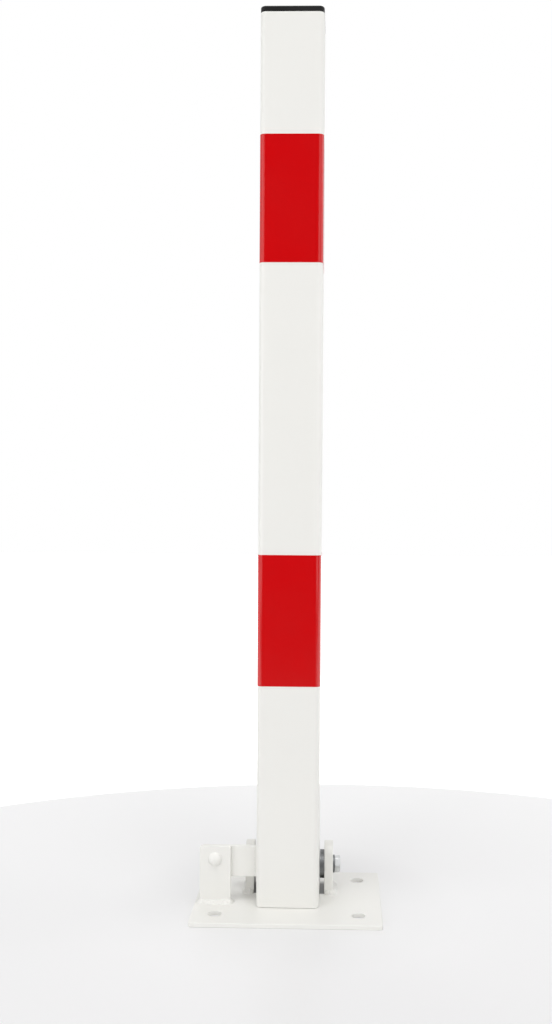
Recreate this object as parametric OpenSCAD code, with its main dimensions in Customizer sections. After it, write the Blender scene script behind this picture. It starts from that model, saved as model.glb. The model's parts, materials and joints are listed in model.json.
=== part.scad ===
// Fold-down bollard: a square steel post on a hinge that is bolted to the ground.
// The post stands on the Z axis. X runs along the hinge pin and +Y is where the post folds to.
// The origin is the bottom centre of the base plate.

/* [Base plate] */
// Width of the plate, along the hinge pin
plate_w = 210; // [190:1:260]
// Depth of the plate, front to back
plate_d = 158; // [140:1:200]
// Thickness of the plate
plate_t = 5; // [4:0.5:10]
// Radius of the plate's four corners
plate_corner_r = 3; // [2:0.5:8]
// Rounding of the plate's upper and lower edges
plate_edge_r = 0.8; // [0.3:0.1:1]
// Distance between the anchor holes, side to side
anchor_pitch_x = 158; // [140:1:170]
// Distance between the anchor holes, front to back
anchor_pitch_y = 105; // [95:1:115]
// Diameter of the anchor holes
anchor_hole_d = 15; // [10:0.5:18]

/* [Post] */
// Height of the whole bollard above the ground
post_h = 1000; // [800:10:1300]
// Outside width of the square tube
post_w = 70; // [60:1:80]
// Wall of the square tube
post_wall = 2.5; // [2:0.5:4]
// Outside corner radius of the square tube
post_corner_r = 6; // [5:0.5:9]
// Free space between the tube and the plate
post_gap = 0.5; // [0.5:0.1:2]

/* [End cap] */
// Height of the cap that shows above the tube
cap_h = 6.5; // [5:0.5:12]
// Rounding of the cap's upper edge
cap_edge_r = 1.6; // [1:0.1:2.5]
// Wall of the hollow plug below the cap
cap_wall = 2; // [1.5:0.5:3]
// Depth of the plug inside the tube
cap_plug_h = 20; // [14:1:40]
// Number of sealing ribs round the plug
cap_ribs = 3; // [2:1:4]
// Thickness of one sealing rib
cap_rib_t = 1.2; // [0.8:0.1:2]
// Space between the plug's walls and the tube, which the ribs cross
cap_rib_reach = 2.2; // [1:0.1:3]
// Space between the ribs' edges and the tube
cap_play = 0.2; // [0.1:0.05:0.3]

/* [Red bands] */
// Height above the ground of the lower band's lower edge
band_low_z = 253; // [150:1:320]
// Distance from the bollard's top down to the upper band's upper edge
band_high_drop = 139; // [40:1:150]
// Height of the lower band
band_low_h = 146; // [50:1:160]
// Height of the upper band
band_high_h = 140; // [30:1:160]
// Thickness of the film
film_t = 0.25; // [0.1:0.05:0.5]
// Space between the film's two ends, at the back of the post
film_seam = 0.6; // [0.3:0.1:2]

/* [Hinge] */
// Height of the hinge pin above the plate
pivot_up = 30; // [28:0.5:32]
// Distance of the hinge pin behind the post's centre
pivot_back = 24; // [22:0.5:24]
// Thickness of a hinge ear
ear_t = 10; // [8:0.5:14]
// Depth of a hinge ear, front to back
ear_d = 30; // [26:1:34]
// Height of a hinge ear above the plate
ear_h = 57; // [54:1:58]
// Diameter of the hinge bolt
bolt_d = 10; // [8:1:10]
// Length of the hinge bolt under its head
bolt_len = 120; // [119:1:130]
// Width across the flats of the bolt's head and of the nut
hex_af = 17; // [17:0.5:19]
// Height of the bolt's head
head_h = 6.4; // [5:0.2:8]
// Radial space between the bolt and what it passes through
bolt_play = 0.05; // [0.02:0.01:0.1]
// Outside diameter of the spacers between the tube and the ears
spacer_d = 32; // [24:1:36]
// Thickness of one spacer
spacer_t = 2.5; // [2:0.5:3]
// Outside diameter of the washers under the bolt's head and the nut
washer_d = 20; // [19:1:24]
// Thickness of one washer
washer_t = 2; // [1.5:0.5:3]
// Hole in the spacers and in the washers
washer_bore = 10.5; // [10.3:0.1:11]
// Space between the tube and the spacers beside it
side_play = 0.5; // [0.1:0.1:0.8]
// Outside diameter of the sleeve that carries the bolt through the tube
sleeve_d = 16; // [13:0.5:16]
// Height of the nut without its collar
nut_h = 7.5; // [7:0.5:9]
// Height of the nut's collar
collar_h = 2.5; // [2:0.5:3]
// Diameter of the nut's collar
collar_d = 15.5; // [15:0.5:16.5]
// Outside diameter of the locking ring in the collar
ring_d = 13; // [12.5:0.5:13.5]

/* [Lock] */
// Distance of the lock's centre line from the post's centre
lock_x = 82; // [78:1:86]
// Width of the flat bar of the upright and of the arm
bar_w = 35; // [32:1:38]
// Thickness of the flat bar
bar_t = 5; // [4:0.5:8]
// Rounding of the flat bar's corners
bar_corner_r = 2; // [0.5:0.5:4]
// Distance of the upright's front face ahead of the post's centre
upright_front = 23; // [21:0.5:25]
// Height of the upright above the plate
upright_h = 64.5; // [62:0.5:80]
// Height of the arm's lower edge above the plate
arm_up = 28.5; // [28:0.5:30]
// Space between the upright and the arm that rests behind it
lock_gap = 0.3; // [0.2:0.1:0.6]
// Distance from the lock's centre line to the arm's free end
arm_overhang = 15.5; // [13:0.5:17]
// Height of the stud's centre above the plate
stud_up = 49.5; // [48:0.5:51]
// Diameter of the stud
stud_d = 14; // [13:0.5:15]
// Length of the stud's round head ahead of the upright
stud_nose = 5; // [3:0.5:8]
// Height of the dome on the stud's head
stud_dome_h = 3.5; // [1:0.5:4]
// Space on each side of the stud in the arm's slot
slot_play = 0.5; // [0.3:0.1:1]
// Diameter of the cross hole that takes the lock's shackle
shackle_hole_d = 9.5; // [6:0.5:9.5]
// Distance from the arm's back to the edge of the cross hole
shackle_set_back = 2; // [1:0.5:4]
// Steel left behind the cross hole at the end of the stud
stud_end = 5; // [4:0.5:8]

/* [Welds] */
// Leg of the weld beads at the feet of the ears and of the upright
foot_weld = 5; // [3:0.5:5.5]
// Leg of the weld beads between the arm and the tube
arm_weld = 3; // [2:0.5:4]

/* [Hidden] */
$fn = 64;
// Anything that is cut right through is cut this much further
over = 1;
// Space round a piece that is welded or pressed into its hole
seat_play = 0.05;

// Heights above the ground
pivot_z = plate_t + pivot_up;
tube_z = plate_t + post_gap;
tube_top = post_h - cap_h;
arm_z = plate_t + arm_up;
stud_z = plate_t + stud_up;
band_high_z = post_h - band_high_drop - band_high_h;

// Distances from the post's centre along the hinge pin
spacer_x = post_w / 2 + side_play;
ear_x = spacer_x + 2 * spacer_t;
ear_out_x = ear_x + ear_t;
clamp_x = ear_out_x + washer_t;

// How far the tube may reach from the hinge pin without touching the plate as it swings
swing_r = pivot_up - post_gap;

// Depths of the lock's pieces, front to back
upright_back_y = -upright_front + bar_t;
arm_front_y = upright_back_y + lock_gap;
arm_back_y = arm_front_y + bar_t;
shackle_y = arm_back_y + shackle_set_back + shackle_hole_d / 2;
stud_back_y = shackle_y + shackle_hole_d / 2 + stud_end;

// Chamfers of the turned pieces
hex_chamfer_r = 0.47 * hex_af;
hex_chamfer_h = 1.2;
collar_edge_r = 1;
bolt_chamfer = 1;
stud_chamfer = 1;
punch_edge = 0.3;
ring_lip = 0.5;

white = "#ecece6";
red = "#c8101a";
black = "#1c1c1e";
zinc = "#b9bcc0";
clear = "#dfe3e2";

// A square with four rounded corners, centred
module round_square(w, d, r) {
    square([w - 2 * r, d], center = true);
    square([w, d - 2 * r], center = true);
    for (sx = [-1, 1], sy = [-1, 1])
        translate([sx * (w / 2 - r), sy * (d / 2 - r)])
            circle(r);
}

// The end view of a slab whose two upper corners are rounded
module slab_end(w, h, r) {
    translate([-w / 2, 0])
        square([w, h - r]);
    translate([-w / 2 + r, 0])
        square([w - 2 * r, h]);
    for (s = [-1, 1])
        translate([s * (w / 2 - r), h - r])
            circle(r);
}

// The end view of a slab whose upper corners are rounded, and the lower ones too if asked
module soft_end(w, h, r, lower_too) {
    if (lower_too)
        translate([0, h / 2])
            round_square(w, h, r);
    else
        slab_end(w, h, r);
}

// A slab with round corners whose upper edge is rounded all the way round, or both edges are
module soft_slab(w, d, h, corner_r, edge_r, lower_too = false) {
    rotate([90, 0, 90])
        linear_extrude(w - 2 * corner_r, center = true)
            soft_end(d, h, edge_r, lower_too);
    rotate([90, 0, 0])
        linear_extrude(d - 2 * corner_r, center = true)
            soft_end(w, h, edge_r, lower_too);
    for (sx = [-1, 1], sy = [-1, 1])
        translate([sx * (w / 2 - corner_r), sy * (d / 2 - corner_r), 0])
            rotate_extrude()
                intersection() {
                    soft_end(2 * corner_r, h, edge_r, lower_too);
                    square([corner_r, h]);
                }
}

// A quarter of a disc, the section of a weld bead
module bead_section(r) {
    intersection() {
        circle(r);
        square(r);
    }
}

// A weld bead along +X whose section fills the corner between +Y and +Z
module bead(run, r) {
    rotate([90, 0, 90])
        linear_extrude(run)
            bead_section(r);
}

// A weld bead round the foot of a bar that stands on z = 0
module foot_bead(w, d, r) {
    for (s = [0, 1])
        rotate([0, 0, 180 * s]) {
            translate([-w / 2, d / 2, 0])
                bead(w, r);
            translate([w / 2, d / 2, 0])
                rotate([0, 0, -90])
                    bead(d, r);
            translate([w / 2, d / 2, 0])
                rotate_extrude(angle = 90)
                    bead_section(r);
            translate([w / 2, -d / 2, 0])
                rotate([0, 0, -90])
                    rotate_extrude(angle = 90)
                        bead_section(r);
        }
}

// A weld bead at the front, the +X side and the back of a bar that stands on z = 0
module side_bead(w, d, r) {
    for (s = [-1, 1])
        mirror([0, s < 0 ? 1 : 0, 0]) {
            translate([-w / 2, d / 2, 0])
                bead(w, r);
            translate([w / 2, d / 2, 0])
                rotate_extrude(angle = 90)
                    bead_section(r);
        }
    translate([w / 2, d / 2, 0])
        rotate([0, 0, -90])
            bead(d, r);
}

// Turns a shape built along +Z so that it runs along +X at the hinge pin's height
module on_pin(x) {
    translate([x, pivot_back, pivot_z])
        rotate([0, 90, 0])
            children();
}

// A hexagon with two level flats, whose corners are turned off at the far end
module hex_block(h) {
    intersection() {
        rotate([0, 0, 30])
            cylinder(h = h, d = hex_af / cos(30), $fn = 6);
        rotate_extrude()
            polygon([
                [0, 0],
                [hex_af, 0],
                [hex_af, h - hex_chamfer_h - (hex_af - hex_chamfer_r) / sqrt(3)],
                [hex_chamfer_r, h],
                [0, h]
            ]);
    }
}

// A punched disc whose rim is rounded off on its far side
module punched_disc(d, t) {
    rotate_extrude()
        polygon([
            [washer_bore / 2, 0],
            [d / 2, 0],
            [d / 2, t - punch_edge],
            [d / 2 - punch_edge, t],
            [washer_bore / 2, t]
        ]);
}

module base_plate() {
    color(white)
        difference() {
            soft_slab(plate_w, plate_d, plate_t, plate_corner_r, plate_edge_r, true);
            for (sx = [-1, 1], sy = [-1, 1])
                translate([sx * anchor_pitch_x / 2, sy * anchor_pitch_y / 2, -over])
                    cylinder(h = plate_t + 2 * over, d = anchor_hole_d);
        }
}

// A flat bar on end, with a full round on top, drilled for the hinge bolt and welded on
// all but the side that faces the tube
module hinge_ear(side) {
    mid_x = side * (ear_x + ear_t / 2);
    color(white)
        difference() {
            union() {
                translate([mid_x - ear_t / 2, pivot_back, plate_t])
                    rotate([90, 0, 90])
                        linear_extrude(ear_t) {
                            translate([-ear_d / 2, 0])
                                square([ear_d, ear_h - ear_d / 2]);
                            translate([0, ear_h - ear_d / 2])
                                circle(d = ear_d);
                        }
                translate([mid_x, pivot_back, plate_t])
                    mirror([side < 0 ? 1 : 0, 0, 0])
                        side_bead(ear_t, ear_d, foot_weld);
            }
            on_pin(mid_x - ear_t / 2 - over)
                cylinder(h = ear_t + 2 * over, r = bolt_d / 2 + bolt_play);
        }
}

module hinge_ear_left() {
    hinge_ear(-1);
}

module hinge_ear_right() {
    hinge_ear(1);
}

module lock_upright() {
    color(white)
        translate([-lock_x, upright_back_y, plate_t])
            difference() {
                union() {
                    rotate([90, 0, 0])
                        linear_extrude(bar_t)
                            slab_end(bar_w, upright_h, bar_corner_r);
                    translate([0, -bar_t / 2, 0])
                        foot_bead(bar_w, bar_t, foot_weld);
                }
                translate([0, over, stud_up])
                    rotate([90, 0, 0])
                        cylinder(h = bar_t + 2 * over, r = stud_d / 2 + seat_play);
            }
}

// A turned pin with a domed nose, cross drilled behind the arm
module lock_stud() {
    stud_len = stud_back_y + upright_front + stud_nose;
    dome_r = (pow(stud_d / 2, 2) + pow(stud_dome_h, 2)) / (2 * stud_dome_h);
    color(white)
        difference() {
            translate([-lock_x, stud_back_y, stud_z])
                rotate([90, 0, 0])
                    rotate_extrude() {
                        polygon([
                            [0, 0],
                            [stud_d / 2 - stud_chamfer, 0],
                            [stud_d / 2, stud_chamfer],
                            [stud_d / 2, stud_len - stud_dome_h],
                            [0, stud_len - stud_dome_h]
                        ]);
                        intersection() {
                            translate([0, stud_len - dome_r])
                                circle(dome_r);
                            translate([0, stud_len - stud_dome_h])
                                square([stud_d / 2, stud_dome_h]);
                        }
                    }
            translate([-lock_x - stud_d, shackle_y, stud_z])
                rotate([0, 90, 0])
                    cylinder(h = 2 * stud_d, d = shackle_hole_d);
        }
}

module pivot_bolt() {
    color(zinc)
        union() {
            on_pin(clamp_x)
                hex_block(head_h);
            on_pin(clamp_x - bolt_len)
                rotate_extrude()
                    polygon([
                        [0, 0],
                        [bolt_d / 2 - bolt_chamfer, 0],
                        [bolt_d / 2, bolt_chamfer],
                        [bolt_d / 2, bolt_len],
                        [0, bolt_len]
                    ]);
        }
}

// The nut's collar is spun over the locking ring, so its mouth is narrower than the ring
module pivot_nut() {
    color(zinc)
        translate([-clamp_x, pivot_back, pivot_z])
            rotate([0, -90, 0])
                difference() {
                    union() {
                        hex_block(nut_h);
                        rotate_extrude()
                            intersection() {
                                slab_end(collar_d, nut_h + collar_h, collar_edge_r);
                                square([collar_d, nut_h + collar_h]);
                            }
                    }
                    translate([0, 0, -over])
                        cylinder(h = nut_h + collar_h, r = bolt_d / 2 + seat_play);
                    translate([0, 0, nut_h])
                        cylinder(h = collar_h - ring_lip, d = ring_d);
                    translate([0, 0, nut_h])
                        cylinder(h = collar_h + over, d = (ring_d + bolt_d) / 2);
                }
}

module nut_ring() {
    color(clear)
        translate([-clamp_x - nut_h, pivot_back, pivot_z])
            rotate([0, -90, 0])
                difference() {
                    cylinder(h = collar_h - ring_lip, r = ring_d / 2 - seat_play);
                    translate([0, 0, -over])
                        cylinder(h = collar_h + over, r = bolt_d / 2 + seat_play);
                }
}

module head_washer() {
    color(zinc)
        on_pin(ear_out_x)
            punched_disc(washer_d, washer_t);
}

module nut_washer() {
    color(zinc)
        mirror([1, 0, 0])
            on_pin(ear_out_x)
                punched_disc(washer_d, washer_t);
}

// Two spacers fill each gap between the tube and an ear
module spacer(side, place) {
    color(zinc)
        mirror([side < 0 ? 1 : 0, 0, 0])
            on_pin(spacer_x + place * spacer_t)
                punched_disc(spacer_d, spacer_t);
}

module left_outer_spacer() {
    spacer(-1, 1);
}

module left_inner_spacer() {
    spacer(-1, 0);
}

module right_inner_spacer() {
    spacer(1, 0);
}

module right_outer_spacer() {
    spacer(1, 1);
}

module pivot_sleeve() {
    color(white)
        on_pin(-post_w / 2)
            difference() {
                cylinder(h = post_w, d = sleeve_d);
                translate([0, 0, -over])
                    cylinder(h = post_w + 2 * over, r = bolt_d / 2 + bolt_play);
            }
}

// The tube's lower end is cut round behind the hinge pin, so that it swings clear of the plate
module post_tube() {
    inner_w = post_w - 2 * post_wall;
    color(white)
        difference() {
            translate([0, 0, tube_z])
                linear_extrude(tube_top - tube_z)
                    difference() {
                        round_square(post_w, post_w, post_corner_r);
                        round_square(inner_w, inner_w, post_corner_r - post_wall);
                    }
            on_pin(-post_w / 2 - over)
                cylinder(h = post_w + 2 * over, r = sleeve_d / 2 + seat_play);
            on_pin(-post_w / 2 - over)
                linear_extrude(post_w + 2 * over)
                    difference() {
                        square(pivot_up);
                        circle(swing_r);
                    }
        }
}

// A moulded cap: a lid as wide as the tube over a hollow plug with sealing ribs
module end_cap() {
    inner_w = post_w - 2 * post_wall;
    inner_r = post_corner_r - post_wall;
    plug_w = inner_w - 2 * cap_rib_reach;
    rib_w = inner_w - 2 * cap_play;
    rib_pitch = cap_plug_h / (cap_ribs + 1);
    color(black)
        union() {
            translate([0, 0, tube_top])
                soft_slab(post_w, post_w, cap_h, post_corner_r, cap_edge_r);
            translate([0, 0, tube_top - cap_plug_h])
                linear_extrude(cap_plug_h)
                    difference() {
                        round_square(plug_w, plug_w, inner_r);
                        square(plug_w - 2 * cap_wall, center = true);
                    }
            for (i = [1:cap_ribs])
                translate([0, 0, tube_top - i * rib_pitch])
                    linear_extrude(cap_rib_t)
                        difference() {
                            round_square(rib_w, rib_w, inner_r);
                            square(plug_w - cap_wall, center = true);
                        }
        }
}

// The arm is welded to the tube's side and its slot drops over the stud
module lock_arm() {
    arm_len = lock_x + arm_overhang - post_w / 2;
    slot_w = stud_d + 2 * slot_play;
    color(white)
        union() {
            translate([0, arm_back_y, arm_z])
                rotate([90, 0, 0])
                    linear_extrude(bar_t)
                        difference() {
                            union() {
                                translate([-post_w / 2 - arm_len + bar_corner_r, 0])
                                    square([arm_len - bar_corner_r, bar_w]);
                                translate([-post_w / 2 - arm_len, bar_corner_r])
                                    square([arm_len, bar_w - 2 * bar_corner_r]);
                                for (z = [bar_corner_r, bar_w - bar_corner_r])
                                    translate([-post_w / 2 - arm_len + bar_corner_r, z])
                                        circle(bar_corner_r);
                            }
                            translate([-lock_x, stud_z - arm_z])
                                circle(d = slot_w);
                            translate([-lock_x - slot_w / 2, -over])
                                square([slot_w, stud_z - arm_z + over]);
                        }
            translate([-post_w / 2, arm_back_y, arm_z])
                rotate([0, -90, 0])
                    bead(bar_w, arm_weld);
            translate([-post_w / 2, arm_front_y, arm_z + bar_w])
                rotate([180, 0, 0])
                    rotate([0, -90, 0])
                        bead(bar_w, arm_weld);
        }
}

// A printed film wrapped round the tube, whose two ends meet at the back
module red_band(z, h) {
    color(red)
        translate([0, 0, z])
            linear_extrude(h)
                difference() {
                    round_square(post_w + 2 * film_t, post_w + 2 * film_t, post_corner_r + film_t);
                    round_square(post_w, post_w, post_corner_r);
                    translate([-film_seam / 2, 0])
                        square([film_seam, post_w]);
                }
}

module red_band_lower() {
    red_band(band_low_z, band_low_h);
}

module red_band_upper() {
    red_band(band_high_z, band_high_h);
}

base_plate();
hinge_ear_left();
hinge_ear_right();
lock_upright();
lock_stud();
pivot_bolt();
pivot_nut();
nut_ring();
head_washer();
nut_washer();
left_outer_spacer();
left_inner_spacer();
right_inner_spacer();
right_outer_spacer();
pivot_sleeve();
post_tube();
end_cap();
lock_arm();
red_band_lower();
red_band_upper();
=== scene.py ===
import json
import math

import bmesh
import bpy
import numpy as np
from mathutils import Matrix, Vector


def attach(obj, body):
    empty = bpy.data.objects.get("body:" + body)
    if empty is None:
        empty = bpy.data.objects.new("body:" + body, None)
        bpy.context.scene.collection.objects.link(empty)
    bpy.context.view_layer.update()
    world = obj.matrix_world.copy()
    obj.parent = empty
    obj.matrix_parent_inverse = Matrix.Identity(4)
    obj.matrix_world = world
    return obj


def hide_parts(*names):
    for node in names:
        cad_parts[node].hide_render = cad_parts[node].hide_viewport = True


# A fold-down bollard on its hinged base plate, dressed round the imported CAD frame.
# All lengths are metres in the frame's own axes: +Z up the post, +X along the hinge bolt,
# +Y the way the post folds down.
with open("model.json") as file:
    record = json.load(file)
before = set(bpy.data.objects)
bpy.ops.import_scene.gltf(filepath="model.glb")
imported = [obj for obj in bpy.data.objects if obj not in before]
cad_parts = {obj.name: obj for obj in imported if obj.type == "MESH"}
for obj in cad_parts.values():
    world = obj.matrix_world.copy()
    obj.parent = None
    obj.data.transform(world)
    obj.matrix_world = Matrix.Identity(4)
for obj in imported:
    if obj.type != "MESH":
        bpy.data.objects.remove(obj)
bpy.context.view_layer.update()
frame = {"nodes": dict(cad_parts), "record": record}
nodes = frame["nodes"]
mm = 0.001
print("frame loaded:", len(nodes), "nodes")


# camera: the photographer's place, worked out from the plate's and the post's perspective
cameraSetup = {
    "place": (0.0549, -1.2154, 0.4765),
    "turnLeft": 1.370,      # degrees
    "tiltDown": 1.434,      # degrees
    "roll": -0.383,         # degrees
    "focal": 1070.3,        # pixels, on a picture 1024 high
    "centreX": 313.7,       # pixels, where the lens axis meets the picture
    "picture": (552, 1024),
    "sensor": 36.0,         # mm, along the picture's height
    "seenFrom": 0.01, "seenTo": 50,    # metres from the lens
}


def makeCamera(setup):
    yaw = math.radians(-setup["turnLeft"])
    tilt = math.radians(setup["tiltDown"])
    roll = math.radians(setup["roll"])
    ahead = Vector((math.sin(yaw) * math.cos(tilt), math.cos(yaw) * math.cos(tilt), -math.sin(tilt)))
    right = Vector((math.cos(yaw), -math.sin(yaw), 0))
    up = right.cross(ahead)
    rightRolled = right * math.cos(roll) - up * math.sin(roll)
    upRolled = right * math.sin(roll) + up * math.cos(roll)
    turn = Matrix((rightRolled, upRolled, -ahead)).transposed()
    width, height = setup["picture"]
    lens = bpy.data.cameras.new("photoCamera")
    lens.sensor_fit = "VERTICAL"
    lens.sensor_height = setup["sensor"]
    lens.lens = setup["focal"] * setup["sensor"] / height
    lens.shift_x = (width / 2 - setup["centreX"]) / height
    lens.clip_start = setup["seenFrom"]
    lens.clip_end = setup["seenTo"]
    camera = bpy.data.objects.new("photoCamera", lens)
    camera.matrix_world = Matrix.Translation(setup["place"]) @ turn.to_4x4()
    bpy.context.collection.objects.link(camera)
    bpy.context.scene.camera = camera


makeCamera(cameraSetup)
print("camera placed")


# node helpers
def addNode(tree, kind, inputs=None, **settings):
    # An input that is another node's socket is linked, and any other value is set.
    node = tree.nodes.new(kind)
    for name, value in settings.items():
        setattr(node, name, value)
    for name, value in (inputs or {}).items():
        if isinstance(value, bpy.types.NodeSocket):
            tree.links.new(value, node.inputs[name])
        else:
            node.inputs[name].default_value = value
    return node


def newMaterial(name):
    material = bpy.data.materials.new(name)
    material.use_nodes = True
    material.node_tree.nodes.clear()
    return material, material.node_tree


def newGroup(name, inputs, outputs):
    # Inputs and outputs give each socket's name and kind, Vector or Float.
    group = bpy.data.node_groups.new(name, "ShaderNodeTree")
    for way, sockets in (("INPUT", inputs), ("OUTPUT", outputs)):
        for label, kind in sockets.items():
            group.interface.new_socket(label, in_out=way, socket_type="NodeSocket" + kind)
    return group, group.nodes.new("NodeGroupInput"), group.nodes.new("NodeGroupOutput")


def placeGroup(tree, group, inputs):
    return addNode(tree, "ShaderNodeGroup", inputs, node_tree=group)


# effects that several materials share
crestSpacing = 0.6    # of a noise of scale 1: its crests stand about so far apart
waveShape = {"fineTimes": 2.7, "coarseDetail": 1.0, "fineDetail": 2.0}
mottleShape = {"low": 0.2, "high": 0.8, "detail": 2.0, "unevenness": 0.4}
grooveShape = {"wander": (0.08, 0.02, 0.02), "detail": 2.0}


def makeSurfaceWaves(shape):
    # The low waves of a baked or rolled surface: a coarse and a fine noise, added.
    # Size is the distance between two crests in metres.
    group, given, out = newGroup(
        "surfaceWaves", {"Vector": "Vector", "Size": "Float", "Fine Share": "Float"}, {"Height": "Float"})
    scale = addNode(group, "ShaderNodeMath", {0: crestSpacing, 1: given.outputs["Size"]}, operation="DIVIDE")
    coarse = addNode(group, "ShaderNodeTexNoise",
                     {"Vector": given.outputs["Vector"], "Scale": scale.outputs[0],
                      "Detail": shape["coarseDetail"]})
    fineScale = addNode(group, "ShaderNodeMath", {0: scale.outputs[0], 1: shape["fineTimes"]},
                        operation="MULTIPLY")
    fine = addNode(group, "ShaderNodeTexNoise",
                   {"Vector": given.outputs["Vector"], "Scale": fineScale.outputs[0],
                    "Detail": shape["fineDetail"]})
    mixed = addNode(group, "ShaderNodeMix",
                    {"Factor": given.outputs["Fine Share"], "A": coarse.outputs["Fac"],
                     "B": fine.outputs["Fac"]}, data_type="FLOAT")
    group.links.new(mixed.outputs["Result"], out.inputs["Height"])
    return group


def makeMottle(shape):
    # A slow drift over the surface, 0 to 1 with soft shoulders, from a noise of three octaves.
    group, given, out = newGroup("mottle", {"Vector": "Vector", "Size": "Float"}, {"Mask": "Float"})
    scale = addNode(group, "ShaderNodeMath", {0: 1.0, 1: given.outputs["Size"]}, operation="DIVIDE")
    noise = addNode(group, "ShaderNodeTexNoise",
                    {"Vector": given.outputs["Vector"], "Scale": scale.outputs[0], "Detail": shape["detail"],
                     "Roughness": shape["unevenness"]})
    spread = addNode(group, "ShaderNodeMapRange",
                     {"Value": noise.outputs["Fac"], "From Min": shape["low"], "From Max": shape["high"]},
                     interpolation_type="SMOOTHSTEP")
    group.links.new(spread.outputs["Result"], out.inputs["Mask"])
    return group


def makeRingMarks(shape):
    # Fine grooves round the hinge pin: a noise read along the distance from the pin's axis, so
    # that it runs round the axis. Each groove wanders by a small share of the place itself.
    group, given, out = newGroup(
        "ringMarks", {"Vector": "Vector", "Axis": "Vector", "Pitch": "Float"}, {"Height": "Float"})
    fromPin = addNode(group, "ShaderNodeVectorMath",
                      {0: given.outputs["Vector"], 1: given.outputs["Axis"]}, operation="SUBTRACT")
    across = addNode(group, "ShaderNodeVectorMath", {0: fromPin.outputs["Vector"], 1: (0, 1, 1)},
                     operation="MULTIPLY")
    radius = addNode(group, "ShaderNodeVectorMath", {0: across.outputs["Vector"]}, operation="LENGTH")
    wander = addNode(group, "ShaderNodeVectorMath", {0: fromPin.outputs["Vector"], 1: shape["wander"]},
                     operation="MULTIPLY")
    outwards = addNode(group, "ShaderNodeCombineXYZ", {"X": radius.outputs["Value"]})
    place = addNode(group, "ShaderNodeVectorMath",
                    {0: outwards.outputs["Vector"], 1: wander.outputs["Vector"]}, operation="ADD")
    scale = addNode(group, "ShaderNodeMath", {0: crestSpacing, 1: given.outputs["Pitch"]}, operation="DIVIDE")
    grooves = addNode(group, "ShaderNodeTexNoise",
                      {"Vector": place.outputs["Vector"], "Scale": scale.outputs[0], "Detail": shape["detail"]})
    group.links.new(grooves.outputs["Fac"], out.inputs["Height"])
    return group


surfaceWaves = makeSurfaceWaves(waveShape)
mottle = makeMottle(mottleShape)
ringMarks = makeRingMarks(grooveShape)
print("shared effects made")


# finishes
pinPlace = (0, 24 * mm, 35 * mm)    # the hinge bolt's axis runs through it, along X


def placeDrift(tree, look):
    # The place on the surface, and the slow drift that tones and roughness follow.
    place = addNode(tree, "ShaderNodeTexCoord").outputs["Object"]
    return place, placeGroup(tree, mottle, {"Vector": place, "Size": look["driftSize"]}).outputs["Mask"]


def twoTones(tree, mask, first, second):
    mix = addNode(tree, "ShaderNodeMix", {"Factor": mask}, data_type="RGBA")
    mix.inputs["A"].default_value = (*first, 1)
    mix.inputs["B"].default_value = (*second, 1)
    return mix.outputs["Result"]


def overlaid(tree, mask, under, colour):
    # The colour under it, and this one where the mask is 1.
    mix = addNode(tree, "ShaderNodeMix", {"Factor": mask}, data_type="RGBA")
    tree.links.new(under, mix.inputs["A"])
    mix.inputs["B"].default_value = (*colour, 1)
    return mix.outputs["Result"]


def roughnessBand(tree, mask, low, high):
    band = addNode(tree, "ShaderNodeMapRange", {"Value": mask, "To Min": low, "To Max": high})
    return band.outputs["Result"]


def bumpOf(tree, height, depth, **more):
    # A normal from a height of 0 to 1, which stands for that depth in metres.
    bump = addNode(tree, "ShaderNodeBump", {"Strength": 1.0, "Distance": depth, "Height": height, **more})
    return bump.outputs["Normal"]


def endSurface(tree, colour, roughness, normal, **shader):
    surface = addNode(tree, "ShaderNodeBsdfPrincipled",
                      {"Base Color": colour, "Roughness": roughness, "Normal": normal, **shader})
    addNode(tree, "ShaderNodeOutputMaterial", {"Surface": surface.outputs["BSDF"]})


# the narrow gaps beside the post: the coat there is darkened, painted shade that stands in for the deep shadow
# in the gaps
hingeGapShade = {
    "colour": (0.11, 0.106, 0.10),
    # where the mask is 0 and from where it is 1
    "inner": (35.0 * mm, 35.1 * mm), "outer": (40.7 * mm, 40.6 * mm),    # across, on either side
    "front": (7 * mm, 10 * mm), "back": (50 * mm, 39 * mm), "top": (54 * mm, 48 * mm),
}


def gapShadeMask(tree, place, gap):
    # the mask of the painted shade in the gaps
    # The product of five ramps, each 0 at its first place and 1 at its second: two along |x|, two
    # along y and one along z.
    parts = addNode(tree, "ShaderNodeSeparateXYZ", {"Vector": place}).outputs
    across = addNode(tree, "ShaderNodeMath", {0: parts["X"]}, operation="ABSOLUTE").outputs[0]
    mask = 1.0
    for name, along in (("inner", across), ("outer", across), ("front", parts["Y"]),
                        ("back", parts["Y"]), ("top", parts["Z"])):
        start, full = gap[name]
        ramp = addNode(tree, "ShaderNodeMapRange", {"Value": along, "From Min": start, "From Max": full})
        mask = addNode(tree, "ShaderNodeMath", {0: mask, 1: ramp.outputs["Result"]},
                       operation="MULTIPLY").outputs[0]
    return mask


powderCoatLook = {
    "tones": ((0.862, 0.855, 0.822), (0.852, 0.846, 0.812)), "roughness": (0.285, 0.36), "ior": 1.5,
    "waveSize": 1.7 * mm, "waveDepth": 0.020 * mm, "fineShare": 0.35, "driftSize": 0.09,
}
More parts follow.
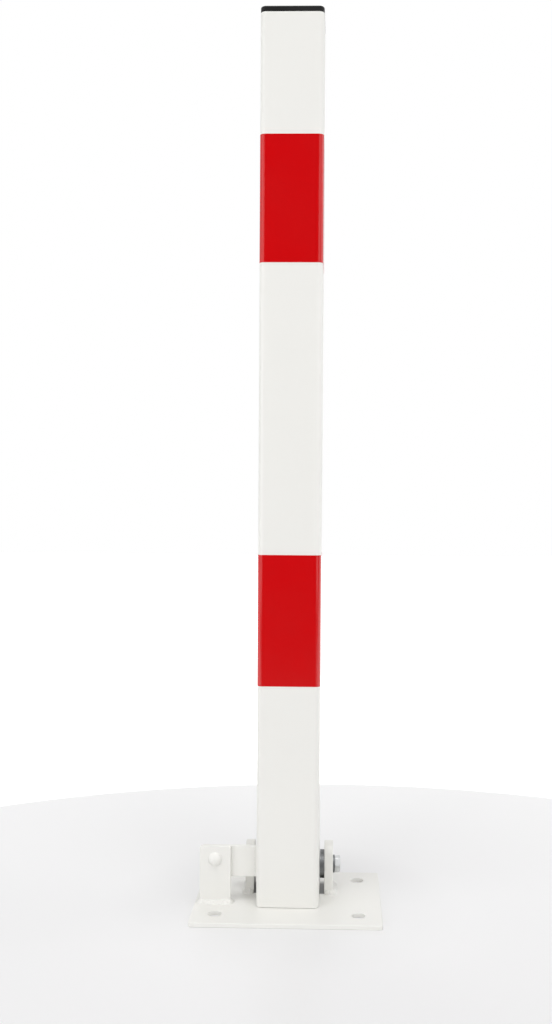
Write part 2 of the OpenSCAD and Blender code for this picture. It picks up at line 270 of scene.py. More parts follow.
# over the weld beads the coat is darker and greyer: painted shade that tones down the light the beads' slopes
# catch from above
weldShadeCoatLook = {**powderCoatLook, "tones": ((0.785, 0.778, 0.748), (0.770, 0.763, 0.733))}
redFilmLook = {
    "tones": ((0.625, 0.0006, 0.0025), (0.610, 0.0005, 0.0020)), "roughness": (0.12, 0.17), "ior": 1.5,
    "waveSize": 2.6 * mm, "waveDepth": 0.018 * mm, "fineShare": 0.2, "driftSize": 0.05,
}
capLook = {
    "tones": ((0.008, 0.008, 0.0085), (0.012, 0.012, 0.0125)), "roughness": (0.40, 0.50), "ior": 1.30,
    "waveSize": 0.45 * mm, "waveDepth": 0.03 * mm, "fineShare": 0.5, "driftSize": 0.02,
}
ringLook = {
    "tones": ((0.76, 0.78, 0.76), (0.66, 0.68, 0.67)), "roughness": (0.30, 0.42), "ior": 1.53,
    "waveSize": 0.9 * mm, "waveDepth": 0.02 * mm, "fineShare": 0.35, "driftSize": 0.004,
}


def makeCoating(name, look, gap=None):
    # Paint, film or plastic: two tones that drift over low waves.
    material, tree = newMaterial(name)
    place, drift = placeDrift(tree, look)
    waves = placeGroup(tree, surfaceWaves,
                       {"Vector": place, "Size": look["waveSize"], "Fine Share": look["fineShare"]})
    colour = twoTones(tree, drift, *look["tones"])
    # in the gaps beside the post, painted shade is laid over the tones
    if gap:
        colour = overlaid(tree, gapShadeMask(tree, place, gap), colour, gap["colour"])
    endSurface(tree, colour, roughnessBand(tree, drift, *look["roughness"]),
               bumpOf(tree, waves.outputs["Height"], look["waveDepth"]), IOR=look["ior"])
    return material


zincLook = {
    "tones": ((0.70, 0.71, 0.72), (0.60, 0.61, 0.61)), "roughness": (0.285, 0.40), "driftSize": 0.006,
    "markPitch": 0.35 * mm, "markDepth": 0.010 * mm,
    "pitSize": 0.8 * mm, "pitDepth": 0.008 * mm, "pitFineShare": 0.6,
}
# darker tones: painted shade of the gaps between post and ears; the roughness is higher too
gapShadedZincLook = {**zincLook, "tones": ((0.24, 0.245, 0.25), (0.17, 0.175, 0.18)), "roughness": (0.36, 0.50)}


def makeZincPlate(name, look):
    # Plated steel: fine pits on top of the grooves that turning left round the hinge pin.
    material, tree = newMaterial(name)
    place, drift = placeDrift(tree, look)
    pits = placeGroup(tree, surfaceWaves,
                      {"Vector": place, "Size": look["pitSize"], "Fine Share": look["pitFineShare"]})
    marks = placeGroup(tree, ringMarks, {"Vector": place, "Axis": pinPlace, "Pitch": look["markPitch"]})
    grooved = bumpOf(tree, marks.outputs["Height"], look["markDepth"])
    pitted = bumpOf(tree, pits.outputs["Height"], look["pitDepth"], Normal=grooved)
    endSurface(tree, twoTones(tree, drift, *look["tones"]), roughnessBand(tree, drift, *look["roughness"]),
               pitted, Metallic=1.0)
    return material


finishes = {
    # the powder coat carries painted shade in the gaps beside the post
    "powder_coat": makeCoating("powderCoat", powderCoatLook, hingeGapShade),
    "red_film": makeCoating("redFilm", redFilmLook),
    "cap_plastic": makeCoating("capPlastic", capLook),
    "zinc_steel": makeZincPlate("zincPlate", zincLook),
    "lock_ring": makeCoating("ringNylon", ringLook),
}
# the beads' coat: darkened as painted shade, and with the gaps' painted shade as well
weldShadeCoat = makeCoating("weldShadeCoat", weldShadeCoatLook, hingeGapShade)
gapShadedZinc = makeZincPlate("gapShadedZincPlate", gapShadedZincLook)    # spacers and washers: rougher, and darkened as painted shade of the narrow gaps they sit in
for part in frame["record"]["subparts"]:
    gapShaded = part["node"].endswith(("_spacer", "_washer"))
    for slot in nodes[part["node"]].material_slots:
        slot.material = gapShadedZinc if gapShaded else finishes[part["material_slot"]]
print("finishes made:", len(finishes) + 2)


# shapes, as rings of points computed in whole arrays
arcStep = 7.5       # degrees between two points of an arc, at most
sharpEdge = 40      # degrees between two faces, from where their edge isn't shaded round


def outline(corners, insets=(0.0,), spacing=2 * mm, closed=True):
    # Walks anticlockwise round a flat shape given by its corner arcs: centre, radius, first and last
    # angle in degrees. A point is centre + (radius - inset) * (cos, sin), so a negative radius is an
    # inner corner, and an inset always moves the edge into the shape. Straight runs are divided.
    inset = np.asarray(insets)[:, None]
    arcs = []
    for across, up, radius, first, last in corners:
        angle = np.radians(np.linspace(first, last, 1 + int(np.ceil(abs(last - first) / arcStep))))
        arcs.append(np.stack([across + (radius - inset) * np.cos(angle),
                              up + (radius - inset) * np.sin(angle)], axis=-1))
    spans = []
    for place, arc in enumerate(arcs):
        spans.append(arc)
        if closed or place + 1 < len(arcs):
            start, end = arc[:, -1:], arcs[(place + 1) % len(arcs)][:, :1]
            count = int(np.hypot(*(end - start)[0, 0]) / spacing)
            share = (np.arange(1, count + 1) / (count + 1))[None, :, None]
            spans.append(start + (end - start) * share)
    return np.concatenate(spans, axis=1)


def skin(rings, loop=False):
    # A closed skin over rings that each run round: the first and last ring meet, or each is closed
    # by one flat face. The sign of the enclosed volume says which way the faces must point.
    rows, around = rings.shape[:2]
    index = np.arange(rows * around).reshape(rows, around)
    after = np.roll(index, -1, axis=0)
    if not loop:
        index, after = index[:-1], after[:-1]
    quads = np.stack([index, np.roll(index, -1, axis=1), np.roll(after, -1, axis=1), after], axis=-1)
    quads = quads.reshape(-1, 4)
    caps = [] if loop else [index[0][::-1], after[-1]]
    points = rings.reshape(-1, 3)
    seen = points - points.mean(axis=0)
    a, b, c, d = np.moveaxis(seen[quads], 1, 0)
    volume = (np.cross(a, b) * c + np.cross(a, c) * d).sum()
    for cap in caps:
        ring = seen[cap]
        volume += (np.cross(ring, np.roll(ring, -1, axis=0)) @ ring.mean(axis=0)).sum()
    if volume < 0:
        quads, caps = quads[:, ::-1], [cap[::-1] for cap in caps]
    return points, quads, caps


def newPiece(name, skins, slot, body, replaced=(), sharp=sharpEdge, finish=None):
    points, faces, start = [], [], 0
    for skinPoints, quads, caps in skins:
        points.append(skinPoints)
        faces += (quads + start).tolist() + [(cap + start).tolist() for cap in caps]
        start += len(skinPoints)
    mesh = bpy.data.meshes.new(name)
    mesh.from_pydata(np.concatenate(points).tolist(), [], faces)
    mesh.shade_smooth()
    mesh.set_sharp_from_angle(angle=math.radians(sharp))
    mesh.materials.append(finish or finishes[slot])
    piece = bpy.data.objects.new(name, mesh)
    bpy.context.collection.objects.link(piece)
    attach(piece, body)
    if replaced:
        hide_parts(*replaced)


# edges rounded by the coat
softEdges = {
    "base_plate": {"width": 0.6 * mm, "slot": "powder_coat", "body": "base"},
    "post_tube": {"width": 0.5 * mm, "slot": "powder_coat", "body": "post"},
    "lock_stud": {"width": 0.5 * mm, "slot": "powder_coat", "body": "base"},
    "pivot_sleeve": {"width": 0.4 * mm, "slot": "powder_coat", "body": "post"},
}
softening = {
    "merge": 0.002 * mm, "flatWithin": 0.3,    # points and, in degrees, faces that are taken as one
    "roundFrom": 45, "segments": 3,            # degrees between the faces of an edge that is rounded
}


def makeSoftEdged(name, setup, way):
    # A copy of the node's mesh with its triangles joined to flat faces and its sharp edges rounded.
    work = bmesh.new()
    work.from_mesh(nodes[name].data)
    bmesh.ops.remove_doubles(work, verts=work.verts, dist=way["merge"])
    bmesh.ops.dissolve_limit(work, angle_limit=math.radians(way["flatWithin"]), verts=work.verts,
                             edges=work.edges)
    mesh = bpy.data.meshes.new(name + "_coated")
    work.to_mesh(mesh)
    work.free()
    mesh.shade_smooth()
    mesh.set_sharp_from_angle(angle=math.radians(sharpEdge))
    mesh.materials.clear()
    mesh.materials.append(finishes[setup["slot"]])
    piece = bpy.data.objects.new(name + "_coated", mesh)
    bpy.context.collection.objects.link(piece)
    bevel = piece.modifiers.new("softEdge", "BEVEL")
    bevel.width = setup["width"]
    bevel.segments = way["segments"]
    bevel.limit_method = "ANGLE"
    bevel.angle_limit = math.radians(way["roundFrom"])
    bevel.harden_normals = True
    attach(piece, setup["body"])
    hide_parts(name)


for name, setup in softEdges.items():
    makeSoftEdged(name, setup, softening)
print("edges softened:", len(softEdges))


# flat bars with rolled edges
barLook = {
    "edge": 0.8 * mm, "edgeRings": 5,          # the rounded edge
    "rim": 0.4 * mm, "footCorner": 1.3 * mm,   # a corner is larger than edge and rim together
    "mouth": 0.4 * mm,                         # the slope at both ends of a bore
    "sunk": 1.4 * mm,                          # how far a bar stands in what it is welded to
}


def barRings(corners, thick, look, hole=None):
    # The rim turns from the front face to the back in two quarter rounds: inset = edge * (1 - sin)
    # and depth = edge * (1 - cos). A hole is a ring of the same count whose points lie in the same
    # directions from its centre as the outline's, with a small slope at both mouths.
    turn = np.radians(np.linspace(0, 90, look["edgeRings"]))
    inset = np.concatenate([[look["edge"] + look["rim"]], look["edge"] * (1 - np.sin(turn))])
    depth = np.concatenate([[0], look["edge"] * (1 - np.cos(turn))])
    flat = outline(corners, np.concatenate([inset, inset[::-1]]))
    depths = np.concatenate([depth, thick - depth[::-1]])
    rings = np.concatenate([flat, np.broadcast_to(depths[:, None, None], flat.shape[:2] + (1,))], axis=-1)
    if hole is None:
        return rings
    across, up, radius = hole
    edgeLine = outline(corners)[0] - (across, up)
    angle = np.arctan2(edgeLine[:, 1], edgeLine[:, 0])
    mouth = look["mouth"]
    radii = radius + np.array([mouth, 0, 0, mouth])[:, None]
    holeDepths = np.array([thick, thick - mouth, mouth, 0])[:, None]
    wall = np.stack([across + radii * np.cos(angle), up + radii * np.sin(angle),
                     np.broadcast_to(holeDepths, (4, len(angle)))], axis=-1)
    return np.concatenate([rings, wall])


ear = {
    "inner": 40.5 * mm, "thick": 10 * mm, "front": 9 * mm, "back": 39 * mm,
    "foot": 5 * mm, "topCentre": 47 * mm, "topRadius": 15 * mm,
    "bore": (24 * mm, 35 * mm, 5.05 * mm),
}


def makeEar(side, name, setup, look):
    low, corner = setup["foot"] - look["sunk"], look["footCorner"]
    corners = [
        (setup["front"] + corner, low + corner, corner, 180, 270),
        (setup["back"] - corner, low + corner, corner, 270, 360),
        ((setup["front"] + setup["back"]) / 2, setup["topCentre"], setup["topRadius"], 0, 180),
    ]
    rings = barRings(corners, setup["thick"], look, setup["bore"])[..., [2, 0, 1]]
    rings[..., 0] = side * (setup["inner"] + rings[..., 0])
    newPiece(name + "_bar", [skin(rings, loop=True)], "powder_coat", "base", [name])


makeEar(-1, "hinge_ear_left", ear, barLook)
makeEar(1, "hinge_ear_right", ear, barLook)

upright = {
    "left": -99.5 * mm, "right": -64.5 * mm, "foot": 5 * mm, "top": 69.5 * mm, "corner": 2 * mm,
    "front": -23 * mm, "thick": 5 * mm, "hole": (-82 * mm, 54.5 * mm, 7.05 * mm),
}


def makeUpright(setup, look):
    low, corner, foot = setup["foot"] - look["sunk"], setup["corner"], look["footCorner"]
    corners = [
        (setup["left"] + foot, low + foot, foot, 180, 270),
        (setup["right"] - foot, low + foot, foot, 270, 360),
        (setup["right"] - corner, setup["top"] - corner, corner, 0, 90),
        (setup["left"] + corner, setup["top"] - corner, corner, 90, 180),
    ]
    rings = barRings(corners, setup["thick"], look, setup["hole"])[..., [0, 2, 1]]
    rings[..., 1] += setup["front"]
    newPiece("lock_upright_bar", [skin(rings, loop=True)], "powder_coat", "base", ["lock_upright"])


makeUpright(upright, barLook)

arm = {
    "end": -97.5 * mm, "tube": -35 * mm, "low": 33.5 * mm, "high": 68.5 * mm, "corner": 2 * mm,
    "front": -17.7 * mm, "thick": 5 * mm,
    "slotCentre": -82 * mm, "slotTop": 54.5 * mm, "slotRadius": 7.5 * mm, "slotMouth": 1.3 * mm,
}


def makeArm(setup, look):
    corner, mouth, slot = setup["corner"], setup["slotMouth"], setup["slotRadius"]
    left, right = setup["end"], setup["tube"] + look["sunk"]
    low, high, middle = setup["low"], setup["high"], setup["slotCentre"]
    corners = [
        (left + corner, low + corner, corner, 180, 270),
        (middle - slot - mouth, low + mouth, mouth, 270, 360),
        (middle, setup["slotTop"], -slot, 360, 180),
        (middle + slot + mouth, low + mouth, mouth, 180, 270),
        (right - mouth, low + mouth, mouth, 270, 360),
        (right - mouth, high - mouth, mouth, 0, 90),
        (left + corner, high - corner, corner, 90, 180),
    ]
    rings = barRings(corners, setup["thick"], look)[..., [0, 2, 1]]
    rings[..., 1] += setup["front"]
    newPiece("lock_arm_bar", [skin(rings)], "powder_coat", "post", ["lock_arm"])


makeArm(arm, barLook)
print("flat bars made")


# welds under the coat
weld = {
    "section": (-8, 98, 13),     # degrees round the bead: first, last, and how many points
    "flat": 0.85,                # of the face: 1 is flat and 0 a quarter round
    "pitch": 3.1 * mm, "ripple": 0.13, "rippleSoft": 0.04, "rippleMean": 0.7, "bow": 0.35,
    "swell": 0.085, "waves": (3, 5, 9, 14), "weights": (0.5, 0.6, 0.5, 0.35), "lean": 1.5,
    "taper": 0.8, "tip": 0.2,    # an end's length in legs, and the size that is left at its tip
    "middle": 0.6,               # legs from the corner, where the run's length is measured
    "sunk": 0.5 * mm, "spacing": 0.4 * mm, "barCorner": 0.6 * mm, "sharp": 60,
}
beads = {
    "upright": {"leg": 4.1 * mm, "seed": 11},
    "earLeft": {"leg": 4.8 * mm, "seed": 17, "inFromEdge": 0.4 * mm},
    "earRight": {"leg": 4.8 * mm, "seed": 23, "inFromEdge": 0.4 * mm},
    "arm": {"leg": 2.9 * mm, "seeds": (31, 37), "pitch": 1.9 * mm, "inFromEdge": 0.3 * mm},
    # the coat that pools round the stud is shaped like a calm bead
    "stud": {"leg": 1.2 * mm, "seed": 41, "points": 96, "inFromEdge": 0.05 * mm,
             "calm": {"flat": 1.15, "ripple": 0.0, "swell": 0.03}},
}


def beadRings(foot, away, rise, leg, look, seed, closed=False):
    # A bead in the corner where two faces meet. At section angle a the surface lies at
    # leg * (flat / (cos a + sin a) + 1 - flat) from the corner, times 1 + ripples + swell. The
    # ripples are |sin| along the run, softened at its zeros and bowed by the section angle into
    # crescents; the swell is a sum of sines with seeded phases. Open runs draw in towards their
    # ends like a quarter circle.
    rng = np.random.default_rng(seed)
    middle = foot + look["middle"] * leg * away
    nextPoint = np.roll(middle, -1, axis=0) if closed else middle[1:]
    step = np.linalg.norm(nextPoint - middle[:len(nextPoint)], axis=1)
    total = step.sum()
    run = np.concatenate([[0], np.cumsum(step)])[:len(foot), None]
    a = np.radians(np.linspace(*look["section"]))[None]
    count = max(1, round(total / look["pitch"]))
    phase = np.pi * (count * run / total + look["bow"] * np.sin(2 * a))
    ripple = np.sqrt(np.sin(phase) ** 2 + look["rippleSoft"]) - look["rippleMean"]
    waves = np.array(look["waves"])[:, None, None]
    starts, leans = rng.uniform(0, 2 * np.pi, (2, len(waves), 1, 1))
    swell = (np.array(look["weights"])[:, None, None]
             * np.sin(2 * np.pi * waves * run / total + starts + look["lean"] * np.sin(a + leans))).sum(axis=0)
    reach = leg * (look["flat"] / (np.cos(a) + np.sin(a)) + 1 - look["flat"])
    reach = reach * (1 + look["ripple"] * ripple + look["swell"] * swell)
    if not closed:
        near = np.clip(np.minimum(run, total - run) / (look["taper"] * leg), 0, 1)
        reach = reach * (look["tip"] + (1 - look["tip"]) * np.sqrt(1 - (1 - near) ** 2))
    face = (foot[:, None] + (reach * np.cos(a))[..., None] * away[:, None]
            + (reach * np.sin(a))[..., None] * rise[:, None])
    hidden = (foot - look["sunk"] * (away + rise))[:, None]
    return np.concatenate([face, hidden], axis=1)


def footPath(corners, height, look, closed):
    # The bead's corner line round a bar. The second walk of the outline is one unit further out, so
    # that the step between the two is the way outwards.
    line = outline(corners, (0.0, -1.0), look["spacing"], closed)
    level = np.zeros((line.shape[1], 1))
    foot = np.concatenate([line[0], level + height], axis=1)
    away = np.concatenate([line[1] - line[0], level], axis=1)
    away /= np.linalg.norm(away, axis=1, keepdims=True)
    return foot, away, np.broadcast_to([0.0, 0.0, 1.0], foot.shape)


def boxCorners(left, right, front, back, corner):
    return [
        (left + corner, front + corner, corner, 180, 270), (right - corner, front + corner, corner, 270, 360),
        (right - corner, back - corner, corner, 0, 90), (left + corner, back - corner, corner, 90, 180),
    ]


def makeUprightWeld(bar, look, bead):
    back = bar["front"] + bar["thick"]
    corners = boxCorners(bar["left"], bar["right"], bar["front"], back, look["barCorner"])
    foot, away, rise = footPath(corners, bar["foot"], look, True)
    rings = beadRings(foot, away, rise, bead["leg"], look, bead["seed"], closed=True)
    newPiece("upright_weld", [skin(rings, loop=True)], "powder_coat", "base", sharp=look["sharp"],
             finish=weldShadeCoat)


def makeEarWeld(name, side, bar, look, bead):
    # Three sides of the ear: from the inner edge of its front round to the inner edge of its back.
    inner, outer = bar["inner"] + bead["inFromEdge"], bar["inner"] + bar["thick"]
    front, back, corner = bar["front"], bar["back"], look["barCorner"]
    corners = [
        (inner, front, 0, -90, -90), (outer - corner, front + corner, corner, -90, 0),
        (outer - corner, back - corner, corner, 0, 90), (inner, back, 0, 90, 90),
    ]
    foot, away, rise = footPath(corners, bar["foot"], look, False)
    rings = beadRings(foot, away, rise, bead["leg"], look, bead["seed"])
    rings[..., 0] *= side
    newPiece(name, [skin(rings)], "powder_coat", "base", sharp=look["sharp"], finish=weldShadeCoat)


def makeArmWelds(bar, look, bead):
    # One run at the arm's front and one at its back, down the side of the tube.
    fine = {**look, "pitch": bead["pitch"]}
    height = np.arange(bar["low"] + bead["inFromEdge"], bar["high"] - bead["inFromEdge"], look["spacing"])
    skins = []
    for face, out, seed in zip((bar["front"], bar["front"] + bar["thick"]), (-1.0, 1.0), bead["seeds"]):
        foot = np.stack([np.full_like(height, bar["tube"]), np.full_like(height, face), height], axis=1)
        away = np.broadcast_to([-1.0, 0.0, 0.0], foot.shape)
        rise = np.broadcast_to([0.0, out, 0.0], foot.shape)
        skins.append(skin(beadRings(foot, away, rise, bead["leg"], fine, seed)))
    newPiece("arm_welds", skins, "powder_coat", "post", sharp=look["sharp"], finish=weldShadeCoat)


def makeStudFillet(bar, look, bead):
    # The coat pools in the corner between the stud and the upright's face.
    across, up, radius = bar["hole"]
    angle = np.linspace(0, 2 * np.pi, bead["points"], endpoint=False)
    away = np.stack([np.cos(angle), np.zeros_like(angle), np.sin(angle)], axis=1)
    foot = np.array([across, bar["front"], up]) + (radius - bead["inFromEdge"]) * away
    rise = np.broadcast_to([0.0, -1.0, 0.0], foot.shape)
    rings = beadRings(foot, away, rise, bead["leg"], {**look, **bead["calm"]}, bead["seed"], closed=True)
    newPiece("stud_fillet", [skin(rings, loop=True)], "powder_coat", "base", sharp=look["sharp"])


makeUprightWeld(upright, weld, beads["upright"])
makeEarWeld("ear_weld_left", -1, ear, weld, beads["earLeft"])
makeEarWeld("ear_weld_right", 1, ear, weld, beads["earRight"])
makeArmWelds(arm, weld, beads["arm"])
makeStudFillet(upright, weld, beads["stud"])
print("welds made")


# hinge bolt and lock nut
hexLook = {
    "flats": 17 * mm, "cornerShare": 0.985,    # of the full corner's reach
    "slope": math.tan(math.radians(30)), "chamferRadius": 8.05 * mm,
}
pinBack, pinUp = pinPlace[1:]
pinStep = 5.0    # degrees between two points of a ring
roundPin = np.radians(np.arange(0, 360, pinStep))
sixth, twelfth = np.radians(60), np.radians(30)    # of a turn


def hexReach(look, angle):
    # A hexagon with level flats, flats / 2 / cos(angle to the nearest flat), its corners cut round.
    half = look["flats"] / 2
    toFlat = np.mod(angle - sixth, sixth) - twelfth
    return np.minimum(half / np.cos(toFlat), look["cornerShare"] * half / np.cos(twelfth))


def turned(rows):
    # Rings round the hinge pin: (place, pin + radius * cos, pin + radius * sin). Place and radius
    # may each change round the ring.
    places, radii = zip(*rows)
    place = np.stack([np.broadcast_to(value, roundPin.shape) for value in places])
    radius = np.stack([np.broadcast_to(value, roundPin.shape) for value in radii])
    return np.stack([place, pinBack + radius * np.cos(roundPin), pinUp + radius * np.sin(roundPin)], axis=-1)


bolt = {
    "headTop": 58.9 * mm, "dishRadius": 5.6 * mm, "dish": 0.18 * mm,
    "dishInner": 0.4 * mm, "dishOuter": 0.5 * mm,        # rings to either side of the dish's edge
    "underHead": 52.5 * mm, "faceRadius": 7.9 * mm, "faceStep": 0.4 * mm, "faceSlope": 0.1 * mm,
    "underSlope": (0.25 * mm, 0.3 * mm),                 # up and inwards, at the hexagon's lower edge
    "neck": (0.25 * mm, 0.2 * mm),                       # along and outwards, where head meets shank
    "radius": 4.97 * mm, "tip": -67.5 * mm, "tipSlope": 1.1 * mm,
    "threadStart": -41.5 * mm, "threadLead": 0.1 * mm, "pitch": 1.5 * mm, "threadDepth": 0.92 * mm,
    "rootShare": 0.25, "flankShare": 0.625, "rowsPerTurn": 12,    # the shares are of half a pitch
}


def makeBolt(setup, hexagon):
    # Head: the hexagon meets a cone, so each angle has its own place where the slope starts.
    # Thread: radius = root + depth * clip((|2 * phase - 1| - rootShare) / flankShare), phase =
    # place / pitch - angle / turn, drawn in over the last turn before the shank and by a slope at
    # the tip.
    reach = hexReach(hexagon, roundPin)
    top, under, radius = setup["headTop"], setup["underHead"], setup["radius"]
    dish, dishFloor, face = setup["dishRadius"], top - setup["dish"], under + setup["faceStep"]
    sloped = (reach - hexagon["chamferRadius"]) * hexagon["slope"]
    slopeUp, slopeIn = setup["underSlope"]
    neckDown, neckOut = setup["neck"]
    head = turned([
        (dishFloor, dish - setup["dishInner"]), (dishFloor, dish), (top, dish + setup["dishOuter"]),
        (top, hexagon["chamferRadius"]), (top - sloped, reach),
        (face + slopeUp, reach), (face, reach - slopeIn), (face, setup["faceRadius"] + setup["faceSlope"]),
        (under, setup["faceRadius"]), (under, radius + neckOut), (under - neckDown, radius),
        (setup["threadStart"], radius),
    ])
    place = np.arange(setup["threadStart"] - setup["threadLead"], setup["tip"],
                      -setup["pitch"] / setup["rowsPerTurn"])[:, None]
    phase = np.mod(place / setup["pitch"] - roundPin / (2 * np.pi), 1)
    crest = np.clip((np.abs(2 * phase - 1) - setup["rootShare"]) / setup["flankShare"], 0, 1)
    drawnIn = np.clip((setup["threadStart"] - place) / setup["pitch"], 0, 1)
    threadRadius = radius - setup["threadDepth"] * (1 - crest) * drawnIn
    threadRadius = np.minimum(threadRadius, radius - setup["tipSlope"] + (place - setup["tip"]))
    thread = turned(zip(place, threadRadius))
    tip = turned([(setup["tip"], radius - setup["tipSlope"])])
    newPiece("hinge_bolt", [skin(np.concatenate([head, thread, tip]))], "zinc_steel", "base", ["pivot_bolt"])


nut = {
    "seat": -52.5 * mm, "shoulder": -60 * mm, "end": -62.5 * mm, "bore": 5.06 * mm, "boreSlope": 0.6 * mm,
    "collar": 7.75 * mm, "crimp": 1.3 * mm, "crimpRings": 7,
    "mouth": 5.75 * mm, "mouthSlope": 0.15 * mm, "ringSpace": 6.5 * mm, "lip": 0.5 * mm,
}


def makeNut(setup, hexagon):
    # One closed profile carried round the pin: bore, pocket of the locking ring, mouth, the collar
    # that is rolled over in a quarter round, and the hexagon with sloped corners at both ends.
    reach = hexReach(hexagon, roundPin)
    sloped = (reach - hexagon["chamferRadius"]) * hexagon["slope"]
    seat, shoulder, end, crimp = setup["seat"], setup["shoulder"], setup["end"], setup["crimp"]
    bore, boreSlope = setup["bore"], setup["boreSlope"]
    mouth, mouthSlope = setup["mouth"], setup["mouthSlope"]
    pocket, lip = setup["ringSpace"], end + setup["lip"]
    turn = np.radians(np.linspace(90, 0, setup["crimpRings"]))
    rolled = zip(end + crimp * (1 - np.sin(turn)), setup["collar"] - crimp * (1 - np.cos(turn)))
    rings = turned([
        (seat, bore + boreSlope), (seat - boreSlope, bore), (shoulder, bore), (shoulder, pocket),
        (lip, pocket), (lip, mouth), (end + mouthSlope, mouth), (end, mouth + mouthSlope),
        *rolled, (shoulder, setup["collar"]), (shoulder, hexagon["chamferRadius"]),
        (shoulder + sloped, reach), (seat - sloped, reach), (seat, hexagon["chamferRadius"]),
    ])
    newPiece("hinge_nut", [skin(rings, loop=True)], "zinc_steel", "base", ["pivot_nut"])


makeBolt(bolt, hexLook)
makeNut(nut, hexLook)
print("bolt and nut made")


# stage: a round pale table top on a white floor
stageSetup = {
    "half": 6.0, "tableCentre": (0.050, -0.454), "tableRadius": 0.933, "edge": 0.004,
    "table": (0.86, 0.86, 0.865), "around": (0.93, 0.93, 0.93), "roughness": 0.28, "ior": 1.45,
    "lift": 1.0,                  # glow of the floor around the table
    "tableLift": (0.0, 0.10), "tableLiftReach": (-0.5, 0.45),    # the far part of the table glows more, in Y: a painted pool of light
    "noLift": (0.08, 0.20),       # none of it under the object or close to it
    "roomAhead": (0.03, 0.03, 0.03), "roomEdge": (-1.3, -1.0),   # mirrored floor turns into dark room, in Y
}


def makeStage(setup):
    half = setup["half"]
    corners = [(-half, -half, 0), (half, -half, 0), (half, half, 0), (-half, half, 0)]
    mesh = bpy.data.meshes.new("floor")
    mesh.from_pydata(corners, [], [(0, 1, 2, 3)])
    floor = bpy.data.objects.new("floor", mesh)
    bpy.context.collection.objects.link(floor)
    material, tree = newMaterial("paleFloor")
    place = addNode(tree, "ShaderNodeTexCoord").outputs["Object"]
    # 0 on the table and 1 around it
    centre = (*setup["tableCentre"], 0)
    reach = addNode(tree, "ShaderNodeVectorMath", {0: place, 1: centre},
                    operation="DISTANCE").outputs["Value"]
    outside = addNode(tree, "ShaderNodeMapRange",
                      {"Value": reach, "From Min": setup["tableRadius"],
                       "From Max": setup["tableRadius"] + setup["edge"]}).outputs["Result"]
    # in mirrors the floor ahead of the object is a dark room
    rays = addNode(tree, "ShaderNodeLightPath").outputs
    along = addNode(tree, "ShaderNodeSeparateXYZ", {"Vector": place}).outputs["Y"]
    ahead = addNode(tree, "ShaderNodeMapRange",
                    {"Value": along, "From Min": setup["roomEdge"][0], "From Max": setup["roomEdge"][1],
                     "To Min": 1.0, "To Max": 0.0}).outputs["Result"]
    mirrored = addNode(tree, "ShaderNodeMath", {0: rays["Is Glossy Ray"], 1: ahead},
                       operation="MULTIPLY").outputs[0]
    pale = twoTones(tree, outside, setup["table"], setup["around"])
    colour = overlaid(tree, mirrored, pale, setup["roomAhead"])
    # the glow, for the eye and for mirrors only, so that it lights nothing
    seen = addNode(tree, "ShaderNodeMath", {0: rays["Is Camera Ray"], 1: rays["Is Glossy Ray"]},
                   operation="MAXIMUM").outputs[0]
    behind = addNode(tree, "ShaderNodeMath", {0: 1.0, 1: mirrored}, operation="SUBTRACT").outputs[0]
    shown = addNode(tree, "ShaderNodeMath", {0: seen, 1: behind}, operation="MULTIPLY").outputs[0]
    near, far = setup["tableLiftReach"]
    tableLift = addNode(tree, "ShaderNodeMapRange",
                        {"Value": along, "From Min": near, "From Max": far, "To Min": setup["tableLift"][0],
                         "To Max": setup["tableLift"][1]}).outputs["Result"]
    fromObject = addNode(tree, "ShaderNodeVectorMath", {0: place}, operation="LENGTH").outputs["Value"]
    clear = addNode(tree, "ShaderNodeMapRange",
                    {"Value": fromObject, "From Min": setup["noLift"][0], "From Max": setup["noLift"][1]})
    kept = addNode(tree, "ShaderNodeMath", {0: tableLift, 1: clear.outputs["Result"]}, operation="MULTIPLY")
    level = addNode(tree, "ShaderNodeMix", {"Factor": outside, "A": kept.outputs[0], "B": setup["lift"]},
                    data_type="FLOAT").outputs["Result"]
    lift = addNode(tree, "ShaderNodeMath", {0: shown, 1: level}, operation="MULTIPLY").outputs[0]
    surface = addNode(tree, "ShaderNodeBsdfPrincipled",
                      {"Base Color": colour, "Roughness": setup["roughness"], "IOR": setup["ior"],
                       "Emission Color": (1, 1, 1, 1), "Emission Strength": lift})
    addNode(tree, "ShaderNodeOutputMaterial", {"Surface": surface.outputs["BSDF"]})
    mesh.materials.append(material)


worldSetup = {
    "light": 0.42,                  # as a source of light, from every side
    "bright": 1.0, "dark": 0.03,    # what a gloss surface mirrors: backdrop and ceiling, and the room ahead
    "towards": (0, 1, 1.73),        # the bright side, so that the dark part ends 30 degrees up
    "blend": (-0.25, 0.15),         # where the one turns into the other
}


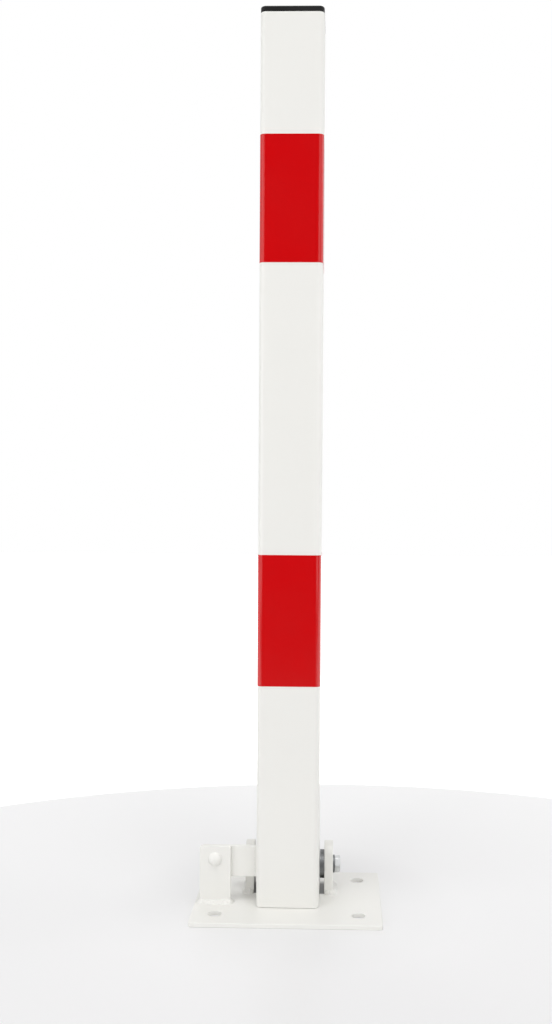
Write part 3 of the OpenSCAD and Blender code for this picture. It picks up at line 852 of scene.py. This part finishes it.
def makeWorld(setup):
    # White to the eye. In reflections it is a white backdrop and ceiling and a dark room ahead of
    # the object, as in a studio, and it lights every side alike.
    world = bpy.data.worlds.new("whiteRoom")
    bpy.context.scene.world = world
    world.use_nodes = True
    tree = world.node_tree
    tree.nodes.clear()
    rays = addNode(tree, "ShaderNodeLightPath").outputs
    place = addNode(tree, "ShaderNodeTexCoord").outputs["Generated"]
    side = addNode(tree, "ShaderNodeVectorMath", {0: place, 1: setup["towards"]},
                   operation="DOT_PRODUCT").outputs["Value"]
    mirrored = addNode(tree, "ShaderNodeMapRange",
                       {"Value": side, "From Min": setup["blend"][0], "From Max": setup["blend"][1],
                        "To Min": setup["dark"], "To Max": setup["bright"]},
                       interpolation_type="SMOOTHSTEP").outputs["Result"]
    seen = addNode(tree, "ShaderNodeMath", {0: rays["Is Camera Ray"], 1: rays["Is Transmission Ray"]},
                   operation="MAXIMUM").outputs[0]
    plain = addNode(tree, "ShaderNodeMapRange", {"Value": seen, "To Min": setup["light"], "To Max": 1.0})
    strength = addNode(tree, "ShaderNodeMix",
                       {"Factor": rays["Is Glossy Ray"], "A": plain.outputs["Result"], "B": mirrored},
                       data_type="FLOAT")
    light = addNode(tree, "ShaderNodeBackground",
                    {"Color": (1, 1, 1, 1), "Strength": strength.outputs["Result"]})
    addNode(tree, "ShaderNodeOutputWorld", {"Surface": light.outputs["Background"]})


# soft boxes, in metres and watts. A lamp with mirrored False doesn't show in gloss, and one with
# lights False shows in gloss only.
lamps = {
    "leftBox": {"place": (-1.78, -1.6, 0.85), "aim": (0, 0, 0.45), "size": (2.4, 1.6), "power": 18},
    "rightBox": {"place": (1.5, -1.95, 0.85), "aim": (0, 0, 0.45), "size": (1.7, 1.6), "power": 11.5},
    "topBox": {"place": (0, -1.9, 6.4), "aim": (0, 0, 0.2), "size": (3.9, 3.1), "power": 146},
    "sideBox": {"place": (2.3, 0.3, 0.95), "aim": (0, 0, 0.45), "size": (1.5, 1.5), "power": 9},
    "backBox": {"place": (-0.7, 2.4, 2.2), "aim": (0, 0, 0.4), "size": (1.8, 1.4), "power": 10,
                "mirrored": False},
}
# shine only, for the bright lines down the rounded corners
lamps["leftCard"] = {**lamps["leftBox"], "power": 26, "lights": False}
lamps["rightCard"] = {**lamps["rightBox"], "power": 20, "lights": False}


def makeLamps(setups):
    for name, setup in setups.items():
        light = bpy.data.lights.new(name, "AREA")
        light.shape = "RECTANGLE"
        light.size, light.size_y = setup["size"]
        light.energy = setup["power"]
        lamp = bpy.data.objects.new(name, light)
        lamp.visible_glossy = setup.get("mirrored", True)
        lamp.visible_diffuse = setup.get("lights", True)
        towards = Vector(setup["aim"]) - Vector(setup["place"])
        turn = towards.to_track_quat("-Z", "Y").to_matrix().to_4x4()
        lamp.matrix_world = Matrix.Translation(setup["place"]) @ turn
        bpy.context.collection.objects.link(lamp)


makeStage(stageSetup)
makeWorld(worldSetup)
makeLamps(lamps)
bpy.context.scene.view_settings.view_transform = "Standard"
print("stage and light set")

bpy.context.view_layer.update()
